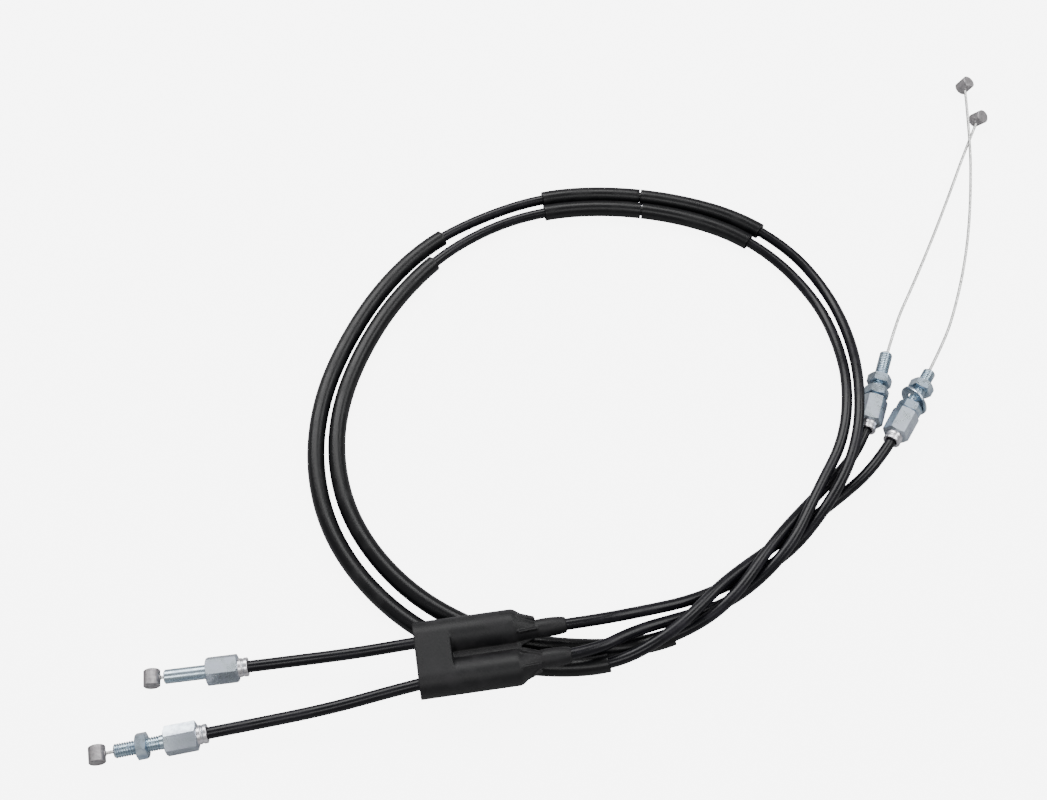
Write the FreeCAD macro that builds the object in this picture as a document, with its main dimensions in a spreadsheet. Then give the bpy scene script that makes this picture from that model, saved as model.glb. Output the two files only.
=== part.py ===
import FreeCAD, Part
import math
import os

import Sketcher
from FreeCAD import Placement, Rotation, Vector

# A pair of motorcycle throttle cables, laid out in one loop on a flat surface.
# The pull cable opens the throttle and the return cable closes it. Each is a flexible casing
# with a steel wire inside, a swivelling fitting at either end and a barrel nipple on either end
# of the wire. Millimetres; +Z is up, and the origin is on the surface, under the middle of the set.

doc = FreeCAD.newDocument("ThrottleCablePair")

SIZES = {
    # casing, from the outside in
    "jacket_od": 5.0,
    "jacket_bore": 3.6,
    "conduit_od": 3.5,
    "conduit_bore": 2.6,
    "liner_od": 2.5,
    "liner_bore": 1.9,
    "wire_od": 1.5,
    # threaded or plain tube of a fitting
    "tube_od": 6.0,
    "tube_bore": 2.2,
    "tube_tip_chamfer": 0.5,
    "pilot_step": 0.4,
    "pilot_od": "=tube_od + pilot_step",
    "shoulder_thickness": 2.0,
    "return_grip_tube_length": 17.5,
    "pull_grip_tube_length": 20.5,
    "return_carb_tube_length": 26.0,
    "pull_carb_tube_length": 26.0,
    # hexagonal body that turns round the ferrule
    "hex_flats": 11.0,
    "hex_length": 13.5,
    "hex_front_wall": 3.0,
    "hex_lip": 1.0,
    "hex_chamfer": 0.7,
    "hex_wall": 0.9,
    "press_clearance": 0.05,
    "running_clearance": 0.1,
    "swivel_end_play": 0.2,
    # ferrule crimped on the end of the casing
    "flange_od": "=hex_flats - 2 * (hex_wall + running_clearance)",
    "flange_step": 0.5,
    "neck_od": "=flange_od - 2 * flange_step",
    "shoulder_step": 0.3,
    "shoulder_od": "=flange_od - 2 * shoulder_step",
    "collar_length": 4.0,
    "ferrule_wall": 1.3,
    # nuts and washer
    "nut_flats": 10.0,
    "nut_height": 4.8,
    "nut_chamfer": 0.6,
    "inner_nut_gap": 1.0,
    "outer_nut_gap": 2.0,
    "pull_grip_nut_gap": 6.7,
    "return_outer_nut_gap": 13.6,
    "return_inner_nut_gap": 0.2,
    "washer_od": 15.0,
    "washer_slack": 1.6,
    "washer_bore": "=tube_od + washer_slack",
    "washer_thickness": 1.2,
    "washer_gap": 8.1,
    "washer_tilt": 22.0,
    # barrel nipples and the wire soldered in them
    "nipple_od": 7.0,
    "nipple_length": 7.0,
    "solder_gap": 0.05,
    "wire_past_centre": 1.5,
    "return_grip_reach": 5.2,
    "pull_grip_reach": 7.0,
    "wire_join_gap": 0.5,
    "grip_wire_inside": 14.5,
    # protective sleeves
    "sleeve_slack": 1.2,
    "sleeve_bore": "=jacket_od + sleeve_slack",
    "sleeve_wall": 0.9,
    "sleeve_od": "=sleeve_bore + 2 * sleeve_wall",
    "sleeve_joint_gap": 0.5,
    "return_top_sleeve_start": 453.5,
    "return_top_sleeve_joint": 517.0,
    "return_top_sleeve_end": 566.5,
    "return_side_sleeve_start": 622.5,
    "return_side_sleeve_end": 946.5,
    "pull_top_sleeve_start": 465.5,
    "pull_top_sleeve_joint": 522.0,
    "pull_top_sleeve_end": 571.0,
    "pull_side_sleeve_start": 635.0,
    "pull_side_sleeve_end": 949.5,
    # twin boot
    "barrel_od": 15.0,
    "barrel_wall": 1.5,
    "barrel_spacing": 18.0,
    "barrel_length": 43.0,
    "band_length": 15.0,
    "web_thickness": 2.0,
    "cone_length": 7.0,
    "boot_neck_slack": 0.6,
    "boot_neck_bore": "=jacket_od + boot_neck_slack",
    "boot_neck_wall": 1.2,
    "boot_neck_od": "=boot_neck_bore + 2 * boot_neck_wall",
    "boot_neck_length": 14.0,
    "boot_neck_spacing": 13.5,
}

sheet = doc.addObject("Spreadsheet::Sheet", "Sizes")
for row, (name, value) in enumerate(SIZES.items(), start=1):
    sheet.set(f"A{row}", name)
    sheet.set(f"B{row}", str(value))
    sheet.setAlias(f"B{row}", name)
doc.recompute()


def size(expression):
    """The value of an expression in the sheet's own names."""
    return float(sheet.evalExpression(expression))


nodes = []


def keep(thing, label, placement=None):
    """Name a finished sub-part and put it in its place."""
    thing.Label = label
    if placement is not None:
        thing.Placement = placement
    nodes.append(thing)
    return thing


def bind(thing, **properties):
    """Tie properties of an object to expressions in the sheet."""
    for name, expression in properties.items():
        thing.setExpression(name, expression)
    return thing


# ---------------------------------------------------------------- turned and hexagonal pieces


def origin_plane(body, role):
    return next(item for item in body.Origin.OriginFeatures if item.Role == role)


def turned(name, outline):
    """A body of revolution about Z. The outline's corners are (radius, height) expressions."""
    body = doc.addObject("PartDesign::Body", name)
    sketch = body.newObject("Sketcher::SketchObject", name + "_profile")
    sketch.AttachmentSupport = (origin_plane(body, "XZ_Plane"), [""])
    sketch.MapMode = "FlatFace"
    corners = [Vector(size(across), size(along), 0) for across, along in outline]
    count = len(corners)
    for index, corner in enumerate(corners):
        sketch.addGeometry(Part.LineSegment(corner, corners[(index + 1) % count]), False)
    for index in range(count):
        sketch.addConstraint(Sketcher.Constraint("Coincident", index, 2, (index + 1) % count, 1))
    for index, (across, along) in enumerate(outline):
        for kind, expression, start in (
            ("DistanceX", across, corners[index].x),
            ("DistanceY", along, corners[index].y),
        ):
            number = sketch.addConstraint(Sketcher.Constraint(kind, index, 1, start))
            sketch.setExpression(f"Constraints[{number}]", expression)
    turn = body.newObject("PartDesign::Revolution", name + "_turn")
    turn.Profile = sketch
    turn.ReferenceAxis = (sketch, ["V_Axis"])
    turn.Angle = 360
    return body


def hexagonal(name, outline, flats, bottom, height):
    """A turned blank with its outside cut to a hexagon that stands on one of its flats."""
    bar = doc.addObject("Part::Prism", name + "_hexagon")
    bar.Polygon = 6
    bind(bar, Circumradius=f"{flats} / 2 / cos(30)", Height=height)
    bar.setExpression("Placement.Base.z", bottom)
    piece = doc.addObject("Part::Common", name)
    piece.Base = turned(name + "_blank", outline)
    piece.Tool = bar
    return piece


def threaded_tube(name, length):
    """Tube with a pilot in the hexagonal body's front wall and a shoulder trapped behind it."""
    wall = "Sizes.hex_front_wall"
    back = f"-{wall} - Sizes.shoulder_thickness"
    return turned(name, [
        ("Sizes.tube_bore / 2", back),
        ("Sizes.shoulder_od / 2", back),
        ("Sizes.shoulder_od / 2", f"-{wall}"),
        ("Sizes.pilot_od / 2", f"-{wall}"),
        ("Sizes.pilot_od / 2", "0"),
        ("Sizes.tube_od / 2", "0"),
        ("Sizes.tube_od / 2", f"{length} - Sizes.tube_tip_chamfer"),
        ("Sizes.tube_od / 2 - Sizes.tube_tip_chamfer", length),
        ("Sizes.tube_bore / 2", length),
    ])


def hex_body(name):
    """Hexagonal body: front wall round the tube, wide bore for the flange, lip behind the flange."""
    front = "Sizes.pilot_od / 2 + Sizes.press_clearance"
    swivel = "Sizes.flange_od / 2 + Sizes.running_clearance"
    lip = "Sizes.neck_od / 2 + Sizes.running_clearance"
    corner = "Sizes.hex_flats / 2 / cos(30)"
    face = f"{corner} - 2 * Sizes.hex_chamfer"
    return hexagonal(name, [
        (front, "0"),
        (face, "0"),
        (corner, "-Sizes.hex_chamfer"),
        (corner, "-Sizes.hex_length + Sizes.hex_chamfer"),
        (face, "-Sizes.hex_length"),
        (lip, "-Sizes.hex_length"),
        (lip, "-Sizes.hex_length + Sizes.hex_lip"),
        (swivel, "-Sizes.hex_length + Sizes.hex_lip"),
        (swivel, "-Sizes.hex_front_wall"),
        (front, "-Sizes.hex_front_wall"),
    ], "Sizes.hex_flats", "-Sizes.hex_length", "Sizes.hex_length")


FLANGE_FRONT = "-Sizes.hex_front_wall - Sizes.shoulder_thickness - Sizes.swivel_end_play"
CASING_STOP = f"{FLANGE_FRONT} - Sizes.ferrule_wall"
FERRULE_TAIL = "-Sizes.hex_length - Sizes.collar_length"


def ferrule(name):
    """Cup on the casing's end: a flange inside the hexagonal body and a collar behind it."""
    flange_back = "-Sizes.hex_length + Sizes.hex_lip + Sizes.swivel_end_play"
    casing = "Sizes.jacket_od / 2 + Sizes.press_clearance"
    return turned(name, [
        ("Sizes.tube_bore / 2", FLANGE_FRONT),
        ("Sizes.flange_od / 2", FLANGE_FRONT),
        ("Sizes.flange_od / 2", flange_back),
        ("Sizes.neck_od / 2", flange_back),
        ("Sizes.neck_od / 2", FERRULE_TAIL),
        (casing, FERRULE_TAIL),
        (casing, CASING_STOP),
        ("Sizes.tube_bore / 2", CASING_STOP),
    ])


def nut(name):
    """Hexagonal nut, chamfered on both faces, with its back face at height 0."""
    bore = "Sizes.tube_od / 2 + Sizes.running_clearance"
    corner = "Sizes.nut_flats / 2 / cos(30)"
    face = f"{corner} - 2 * Sizes.nut_chamfer"
    return hexagonal(name, [
        (bore, "0"),
        (face, "0"),
        (corner, "Sizes.nut_chamfer"),
        (corner, "Sizes.nut_height - Sizes.nut_chamfer"),
        (face, "Sizes.nut_height"),
        (bore, "Sizes.nut_height"),
    ], "Sizes.nut_flats", "0", "Sizes.nut_height")


def washer(name):
    """Plain washer, its thickness centred on height 0."""
    half = "Sizes.washer_thickness / 2"
    return turned(name, [
        ("Sizes.washer_bore / 2", f"-{half}"),
        ("Sizes.washer_od / 2", f"-{half}"),
        ("Sizes.washer_od / 2", half),
        ("Sizes.washer_bore / 2", half),
    ])


def nipple(name):
    """Barrel about Z, centred on the origin, with a blind hole that the wire enters along +X."""
    barrel = doc.addObject("Part::Cylinder", name + "_barrel")
    bind(barrel, Radius="Sizes.nipple_od / 2", Height="Sizes.nipple_length")
    barrel.setExpression("Placement.Base.z", "-Sizes.nipple_length / 2")
    hole = doc.addObject("Part::Cylinder", name + "_hole")
    bind(hole, Radius="Sizes.wire_od / 2 + Sizes.solder_gap",
         Height="Sizes.nipple_od + Sizes.wire_past_centre")
    hole.Placement = Placement(Vector(), Rotation(Vector(0, 1, 0), 90))
    hole.setExpression("Placement.Base.x", "-Sizes.nipple_od")
    piece = doc.addObject("Part::Cut", name)
    piece.Base = barrel
    piece.Tool = hole
    return piece


# ---------------------------------------------------------------- routes


def heading(degrees):
    """Horizontal unit vector; 0 points along +X and 90 along +Y."""
    return Vector(math.cos(math.radians(degrees)), math.sin(math.radians(degrees)), 0)


def upright(along, lean=0.0):
    """Turn that sends local X along the wire and local Z upright, leaned about the wire."""
    side = along.cross(Vector(0, 0, 1)).normalize()
    over = side.cross(along)
    tilt = math.radians(lean)
    axis = over * math.cos(tilt) + side * math.sin(tilt)
    return Rotation(along, axis.cross(along), axis, "XZY")


class Fitting:
    """Place of one end fitting. Height 0 is its hexagon's front face and + is toward the tip."""

    def __init__(self, cable, end, tail, degrees):
        self.name = f"{cable}_{end}"
        self.out = heading(degrees)
        self.origin = Vector(*tail) - self.out * size(FERRULE_TAIL)
        self.length = size(f"Sizes.{self.name}_tube_length")

    def at(self, height):
        return self.origin + self.out * height

    def placement(self, height=0.0):
        up = Vector(0, 0, 1)
        return Placement(self.at(height), Rotation(up.cross(self.out) * -1, up, self.out, "ZYX"))


FITTINGS = {
    "return_grip": Fitting("return", "grip", (-147.5, -142.0, 6.5), 187.4),
    "pull_grip": Fitting("pull", "grip", (-161.5, -170.5, 6.5), 191.5),
    "return_carb": Fitting("return", "carb", (135.6, -35.4, 7.5), 58.5),
    "pull_carb": Fitting("pull", "carb", (125.4, -28.8, 6.5), 71.0),
}

# Middle of each casing between its two fittings. Both run under a twin boot, round the loop,
# through their sleeves and back under the boot, and twist round each other on the right.
ROUTES = {
    "return": [
        (-100.5, -137.2, 10.4), (-70.5, -133.5, 15.3), (-45.5, -131.6, 16.1), (-2.0, -125.1, 16.1),
        (20.0, -118.5, 10.5), (38.0, -112.3, 4.8), (54.8, -104.7, 2.5), (83.3, -91.4, 2.5),
        (106.3, -64.7, 10.5), (119.2, -38.0, 14.2), (123.4, -7.0, 14.2), (122.8, 23.0, 7.5),
        (116.0, 51.0, 2.6), (101.0, 75.0, 2.8), (76.0, 94.0, 4.0), (44.0, 105.2, 4.0),
        (10.0, 109.6, 4.0), (-22.0, 107.0, 4.0), (-52.0, 96.0, 3.0), (-79.5, 78.0, 4.0),
        (-101.2, 51.8, 4.0), (-117.0, 20.0, 4.0), (-126.5, -12.0, 4.0), (-127.5, -45.0, 4.0),
        (-119.0, -77.0, 4.0), (-101.0, -104.5, 4.0), (-75.0, -126.5, 4.0), (-44.0, -139.0, 4.0),
        (-16.0, -142.3, 4.5), (8.0, -141.0, 8.5), (28.0, -131.0, 13.0), (42.0, -118.5, 13.0),
        (54.8, -104.7, 10.5), (77.7, -85.6, 2.5), (106.3, -64.7, 2.5),
    ],
    "pull": [
        (-112.5, -161.2, 9.2), (-87.0, -155.2, 13.2), (-70.0, -151.4, 15.3), (-43.5, -145.0, 16.1),
        (-3.5, -139.0, 16.1), (15.0, -127.3, 10.2), (36.0, -119.2, 4.6), (59.2, -111.3, 2.5),
        (83.3, -91.4, 10.5), (99.7, -60.3, 10.5), (113.3, -36.5, 12.5), (118.2, -8.0, 12.5),
        (117.0, 20.0, 6.5), (110.5, 45.0, 2.6), (94.0, 69.0, 2.8), (72.0, 86.0, 4.0),
        (42.0, 97.0, 4.0), (10.0, 101.2, 4.0), (-21.0, 98.6, 4.0), (-48.0, 89.5, 3.0),
        (-74.2, 70.2, 4.0), (-95.3, 43.4, 4.0), (-109.5, 14.0, 4.0), (-117.5, -15.0, 4.0),
        (-117.8, -43.0, 4.0), (-110.0, -71.0, 4.0), (-93.0, -96.5, 4.0), (-70.0, -116.0, 4.0),
        (-40.0, -129.5, 4.0), (-8.0, -133.5, 4.0), (22.0, -131.9, 4.0), (44.0, -122.9, 6.8),
        (59.2, -111.3, 10.5), (77.7, -85.6, 10.5), (99.7, -60.3, 2.5),
    ],
}

# Bare wire beyond the carburettor end, as far as the end soldered in its nipple.
BARE_WIRES = {
    "return": [
        (178.5, 45.0, 7.1), (188.0, 77.0, 6.6), (194.5, 109.0, 6.2), (199.5, 143.0, 6.0),
        (202.8, 183.0, 4.8),
    ],
    "pull": [
        (157.5, 52.0, 5.6), (170.5, 79.0, 4.6), (184.5, 110.0, 3.6), (197.0, 139.0, 3.4),
        (207.0, 160.0, 4.9),
    ],
}

# Straight lengths of casing behind each fitting, and of bare wire ahead of the tube's tip.
STRAIGHT_BEHIND = {"return_grip": 17.0, "pull_grip": 17.0, "return_carb": 13.0, "pull_carb": 11.0}
STRAIGHT_AHEAD = 15.0

# How far a hexagonal body is rolled about its cable from standing on a flat.
HEX_ROLL = {"pull_grip": 30.0}

# How far each nipple leans over about its wire.
LEAN = {"return_grip": 90.0, "pull_grip": 90.0, "return_carb": 27.0, "pull_carb": 33.0}

CORNER_SHARE = 0.45


def path(points, name):
    """Straight runs joined by the largest tangent arcs that fit; prints the arcs' radii."""
    edges = []
    radii = []
    place = points[0]
    for before, corner, after in zip(points, points[1:], points[2:]):
        first = corner - before
        second = after - corner
        cut = CORNER_SHARE * min(first.Length, second.Length)
        first.normalize()
        second.normalize()
        half_turn = first.getAngle(second) / 2
        radius = cut / math.tan(half_turn)
        inward = (second - first).normalize()
        centre = corner + inward * (radius / math.cos(half_turn))
        start = corner - first * cut
        end = corner + second * cut
        edges.append(Part.LineSegment(place, start).toShape())
        edges.append(Part.Arc(start, centre - inward * radius, end).toShape())
        radii.append(radius)
        place = end
    edges.append(Part.LineSegment(place, points[-1]).toShape())
    length = sum(edge.Length for edge in edges)
    print(f"{name}: length {length:.1f}, radii {min(radii):.0f} to {max(radii):.0f}:",
          " ".join(f"{radius:.0f}" for radius in radii))
    return edges


def stretch(edges, start, length):
    """The part of a path from one distance along it, for a given length."""
    cut = []
    passed = 0.0
    for edge in edges:
        low = max(start - passed, 0.0)
        high = min(start + length - passed, edge.Length)
        if high - low > 1e-6:
            first = edge.getParameterByLength(low)
            last = edge.getParameterByLength(high)
            cut.append(edge.Curve.toShape(first, last))
        passed += edge.Length
    return cut


def swept(edges, radius):
    """Solid rod along a path."""
    begin = edges[0]
    low = begin.FirstParameter
    ring = Part.Circle(begin.valueAt(low), begin.tangentAt(low), radius)
    return Part.Wire(edges).makePipe(Part.Face(Part.Wire(ring.toShape())))


def rod_feature(label, edges, diameter):
    """Sub-part that is a solid rod along a path."""
    feature = doc.addObject("Part::Feature", label)
    feature.Shape = swept(edges, diameter / 2)
    return keep(feature, label)


def tube_feature(label, edges, outside, inside):
    """Sub-part that is a tube along a path, with its volume compared with section times length."""
    solid = swept(edges, outside / 2).cut(swept(edges, inside / 2)).Solids[0]
    expected = math.pi / 4 * (outside ** 2 - inside ** 2) * sum(edge.Length for edge in edges)
    print(f"{label}: volume {solid.Volume:.1f}, section times length {expected:.1f}")
    feature = doc.addObject("Part::Feature", label)
    feature.Shape = solid
    return keep(feature, label)


def casing_points(cable):
    grip = FITTINGS[cable + "_grip"]
    carb = FITTINGS[cable + "_carb"]
    stop = size(CASING_STOP)
    tail = size(FERRULE_TAIL)
    return [
        grip.at(stop), grip.at(tail - STRAIGHT_BEHIND[grip.name]),
        *(Vector(*point) for point in ROUTES[cable]),
        carb.at(tail - STRAIGHT_BEHIND[carb.name]), carb.at(stop),
    ]


# ---------------------------------------------------------------- the two cables

casings = {}
for cable in ("return", "pull"):
    grip = FITTINGS[cable + "_grip"]
    carb = FITTINGS[cable + "_carb"]
    casing = path(casing_points(cable), cable + " casing")
    casings[cable] = casing

    for layer in ("jacket", "conduit", "liner"):
        tube_feature(f"{cable}_{layer}", casing, size(f"Sizes.{layer}_od"),
                     size(f"Sizes.{layer}_bore"))

    # The inner wire is one strand. Its first stretch rides with the grip nipple, and the rest
    # follows the casing and runs on through the other fitting to the carburettor nipple.
    inside = size("Sizes.grip_wire_inside")
    reach = size(f"Sizes.{cable}_grip_reach")
    grip_wire = doc.addObject("Part::Cylinder", cable + "_grip_wire")
    bind(grip_wire, Radius="Sizes.wire_od / 2",
         Height=f"Sizes.grip_wire_inside - ({CASING_STOP}) + Sizes.{grip.name}_tube_length"
                f" + Sizes.{grip.name}_reach + Sizes.wire_past_centre")
    keep(grip_wire, cable + "_grip_wire", grip.placement(size(CASING_STOP) - inside))

    bare = [carb.at(size(CASING_STOP)), carb.at(carb.length + STRAIGHT_AHEAD),
            *(Vector(*point) for point in BARE_WIRES[cable])]
    hidden = inside + size("Sizes.wire_join_gap")
    whole = sum(edge.Length for edge in casing)
    rod_feature(cable + "_inner_wire",
                stretch(casing, hidden, whole - hidden) + path(bare, cable + " bare wire"),
                size("Sizes.wire_od"))

    # nipples
    keep(nipple(cable + "_grip_nipple"), cable + "_grip_nipple",
         Placement(grip.at(grip.length + reach), upright(grip.out, LEAN[grip.name])))
    along = (bare[-1] - bare[-2]).normalize()
    keep(nipple(cable + "_carb_nipple"), cable + "_carb_nipple",
         Placement(bare[-1] - along * size("Sizes.wire_past_centre"),
                   upright(along, LEAN[carb.name])))

    # fittings
    for fitting in (grip, carb):
        keep(threaded_tube(fitting.name + "_tube", f"Sizes.{fitting.name}_tube_length"),
             fitting.name + "_tube", fitting.placement())
        roll = Placement(Vector(), Rotation(Vector(0, 0, 1), HEX_ROLL.get(fitting.name, 0.0)))
        keep(hex_body(fitting.name + "_body"), fitting.name + "_body",
             fitting.placement().multiply(roll))
        keep(ferrule(fitting.name + "_ferrule"), fitting.name + "_ferrule", fitting.placement())

# nuts and washer
height = size("Sizes.nut_height")
first_gap = size("Sizes.inner_nut_gap")
NUT_HEIGHTS = {
    "pull_grip_nut": ("pull_grip", size("Sizes.pull_grip_nut_gap")),
    "pull_carb_inner_nut": ("pull_carb", first_gap),
    "pull_carb_outer_nut": ("pull_carb", first_gap + height + size("Sizes.outer_nut_gap")),
    "return_carb_inner_nut": ("return_carb", size("Sizes.return_inner_nut_gap")),
    "return_carb_outer_nut": ("return_carb", size("Sizes.return_outer_nut_gap")),
}
for label, (fitting, gap) in NUT_HEIGHTS.items():
    keep(nut(label), label, FITTINGS[fitting].placement(gap))

carb = FITTINGS["return_carb"]
tilt = Placement(Vector(), Rotation(Vector(0, 1, 0), -size("Sizes.washer_tilt")))
keep(washer("return_carb_washer"), "return_carb_washer",
     carb.placement(size("Sizes.washer_gap")).multiply(tilt))

# Three sleeves on each cable, placed by distance along the casing. The first two almost meet.
half_gap = size("Sizes.sleeve_joint_gap / 2")
for cable, casing in casings.items():
    mark = {
        name: size(f"Sizes.{cable}_{name}")
        for name in ("top_sleeve_start", "top_sleeve_joint", "top_sleeve_end",
                     "side_sleeve_start", "side_sleeve_end")
    }
    for label, start, end in (
        ("top_sleeve_right", mark["top_sleeve_start"], mark["top_sleeve_joint"] - half_gap),
        ("top_sleeve_left", mark["top_sleeve_joint"] + half_gap, mark["top_sleeve_end"]),
        ("side_sleeve", mark["side_sleeve_start"], mark["side_sleeve_end"]),
    ):
        tube_feature(f"{cable}_{label}", stretch(casing, start, end - start),
                     size("Sizes.sleeve_od"), size("Sizes.sleeve_bore"))

# ---------------------------------------------------------------- twin boot
# Local X runs from the mouth toward the necks, and the cables lie side by side in Y.

BOOT_MIDDLE = (-76.3, -143.06, 16.1)
BOOT_HEADING = 8.52


def rod_along_x(name, radius, start, length, side):
    piece = doc.addObject("Part::Cylinder", name)
    piece.Placement = Placement(Vector(), Rotation(Vector(0, 1, 0), 90))
    bind(piece, Radius=radius, Height=length)
    piece.setExpression("Placement.Base.x", start)
    piece.setExpression("Placement.Base.y", side)
    return piece


def cone_along_x(name, wide, narrow, start, length, wide_side, narrow_side):
    """Cone whose narrow end is shifted sideways."""
    rings = []
    for mark, radius, along, side in (
        ("wide", wide, start, wide_side),
        ("narrow", narrow, f"{start} + {length}", narrow_side),
    ):
        ring = doc.addObject("Part::Circle", f"{name}_{mark}")
        ring.Placement = Placement(Vector(), Rotation(Vector(0, 1, 0), 90))
        bind(ring, Radius=radius)
        ring.setExpression("Placement.Base.x", along)
        ring.setExpression("Placement.Base.y", side)
        rings.append(ring)
    cone = doc.addObject("Part::Loft", name)
    cone.Sections = rings
    cone.Solid = True
    cone.Ruled = True
    return cone


def block(name, length, half_width, thickness):
    piece = doc.addObject("Part::Box", name)
    bind(piece, Length=length, Width=f"2 * ({half_width})", Height=thickness)
    piece.setExpression("Placement.Base.y", f"-({half_width})")
    piece.setExpression("Placement.Base.z", f"-({thickness}) / 2")
    return piece


BARREL_END = "Sizes.barrel_length"
NECK_START = "Sizes.barrel_length + Sizes.cone_length"
INNER_END = "Sizes.barrel_length - Sizes.barrel_wall"
outside = [
    block("boot_band", "Sizes.band_length", "Sizes.barrel_spacing / 2", "Sizes.barrel_od"),
    block("boot_web", BARREL_END, "Sizes.barrel_spacing / 2 - Sizes.barrel_od / 4",
          "Sizes.web_thickness"),
]
inside = []
for mark, sign in (("left", ""), ("right", "-")):
    barrel_side = f"{sign}Sizes.barrel_spacing / 2"
    neck_side = f"{sign}Sizes.boot_neck_spacing / 2"
    cavity = "Sizes.barrel_od / 2 - Sizes.barrel_wall"
    outside += [
        rod_along_x(f"boot_barrel_{mark}", "Sizes.barrel_od / 2", "0", BARREL_END, barrel_side),
        cone_along_x(f"boot_cone_{mark}", "Sizes.barrel_od / 2", "Sizes.boot_neck_od / 2",
                     BARREL_END, "Sizes.cone_length", barrel_side, neck_side),
        rod_along_x(f"boot_neck_{mark}", "Sizes.boot_neck_od / 2", NECK_START,
                    "Sizes.boot_neck_length", neck_side),
    ]
    inside += [
        rod_along_x(f"boot_cavity_{mark}", cavity, "-1", f"{INNER_END} + 1", barrel_side),
        cone_along_x(f"boot_inner_cone_{mark}", cavity, "Sizes.boot_neck_bore / 2",
                     INNER_END, "Sizes.cone_length", barrel_side, neck_side),
        rod_along_x(f"boot_bore_{mark}", "Sizes.boot_neck_bore / 2",
                    f"{INNER_END} + Sizes.cone_length",
                    "Sizes.boot_neck_length + Sizes.barrel_wall + 1", neck_side),
    ]

shell = doc.addObject("Part::MultiFuse", "boot_outside")
shell.Shapes = outside
hollow = doc.addObject("Part::MultiFuse", "boot_inside")
hollow.Shapes = inside
boot = doc.addObject("Part::Cut", "twin_boot")
boot.Base = shell
boot.Tool = hollow
keep(boot, "twin_boot", Placement(Vector(*BOOT_MIDDLE), Rotation(Vector(0, 0, 1), BOOT_HEADING)))

# ---------------------------------------------------------------- checks and files

doc.recompute()

broken = [item.Name for item in doc.Objects if "Invalid" in item.State or "Error" in item.State]
assert not broken, f"not computed: {broken}"
for node in nodes:
    assert not node.Shape.isNull() and node.Shape.isValid(), f"bad shape: {node.Label}"
    assert len(node.Shape.Solids) == 1, f"not one solid: {node.Label}"

os.makedirs("parts", exist_ok=True)
for node in nodes:
    node.Shape.exportStep(f"parts/{node.Label}.step")
print(len(nodes), "sub-parts written")
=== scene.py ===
import math
import random

import bpy
from mathutils import Matrix, Vector


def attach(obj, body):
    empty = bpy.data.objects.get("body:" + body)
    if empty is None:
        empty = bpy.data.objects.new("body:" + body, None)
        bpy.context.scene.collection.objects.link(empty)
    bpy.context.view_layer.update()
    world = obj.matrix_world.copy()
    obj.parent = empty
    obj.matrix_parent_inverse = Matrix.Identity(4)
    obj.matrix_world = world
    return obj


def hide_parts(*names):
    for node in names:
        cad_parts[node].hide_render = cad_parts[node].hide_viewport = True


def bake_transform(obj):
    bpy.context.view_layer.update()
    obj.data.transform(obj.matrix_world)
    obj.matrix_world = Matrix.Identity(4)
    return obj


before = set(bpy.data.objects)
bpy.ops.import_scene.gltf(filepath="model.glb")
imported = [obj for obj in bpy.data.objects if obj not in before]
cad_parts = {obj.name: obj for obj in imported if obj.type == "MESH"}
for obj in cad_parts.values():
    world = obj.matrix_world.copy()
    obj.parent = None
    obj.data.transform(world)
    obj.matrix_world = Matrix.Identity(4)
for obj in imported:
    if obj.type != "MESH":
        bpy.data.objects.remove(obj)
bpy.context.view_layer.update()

bpy.ops.object.select_all(action="DESELECT")


# ================================================================ table, light and camera
# The cables lie on a plain white table top under soft studio light from above and both sides.
# The table is one large sheet; the camera looks down on the set at a steep angle.

def plain_material(name, colour, roughness):
    material = bpy.data.materials.new(name)
    material.use_nodes = True
    shader = material.node_tree.nodes["Principled BSDF"]
    shader.inputs["Base Color"].default_value = (*colour, 1)
    shader.inputs["Roughness"].default_value = roughness
    return material


bpy.ops.mesh.primitive_plane_add(size=8, location=(0, 0, -0.0002))
table = bpy.context.object
table.name = "table_top"
table_white = plain_material("table_white", (0.42, 0.42, 0.43), 0.8)
table_tree = table_white.node_tree
table_shader = table_tree.nodes["Principled BSDF"]
table_shader.inputs["Specular IOR Level"].default_value = 0.1
table_shader.inputs["Emission Color"].default_value = (1, 1, 1, 1)
seen = table_tree.nodes.new("ShaderNodeLightPath")
glow = table_tree.nodes.new("ShaderNodeMath")
glow.operation = "MULTIPLY"
glow.inputs[1].default_value = 6.5
table_tree.links.new(seen.outputs["Is Camera Ray"], glow.inputs[0])
table_tree.links.new(glow.outputs[0], table_shader.inputs["Emission Strength"])
table.data.materials.append(table_white)

world = bpy.data.worlds.new("studio")
bpy.context.scene.world = world
world.use_nodes = True
world.node_tree.nodes["Background"].inputs["Color"].default_value = (1, 1, 1, 1)
world.node_tree.nodes["Background"].inputs["Strength"].default_value = 0.36

for spot, turn, size, power in (
    ((-0.5, 0.9, 1.1), (-40, -20, 0), (1.6, 0.7), 26),
    ((1.0, 0.3, 1.2), (0, 42, 0), (0.6, 1.4), 14),
    ((-0.2, -1.0, 1.5), (35, 0, 0), (1.2, 0.5), 9),
):
    bpy.ops.object.light_add(type="AREA", location=spot,
                             rotation=[math.radians(angle) for angle in turn])
    lamp = bpy.context.object.data
    lamp.shape = "RECTANGLE"
    lamp.size, lamp.size_y = size
    lamp.energy = power

bpy.ops.object.camera_add(location=(-0.032, -0.3503, 0.5912), rotation=(math.radians(30), 0, 0))
camera = bpy.context.object
camera.data.lens = 50
camera.data.sensor_width = 36
camera.data.clip_start = 0.01
bpy.context.scene.camera = camera


# ================================================================ casings
# The two casings are the long black cables: a wound steel conduit under a smooth vinyl jacket.
# The jacket is extruded, so fine lines run along it, and it carries dull rubs from handling.

JACKET = 0.0050

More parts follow.
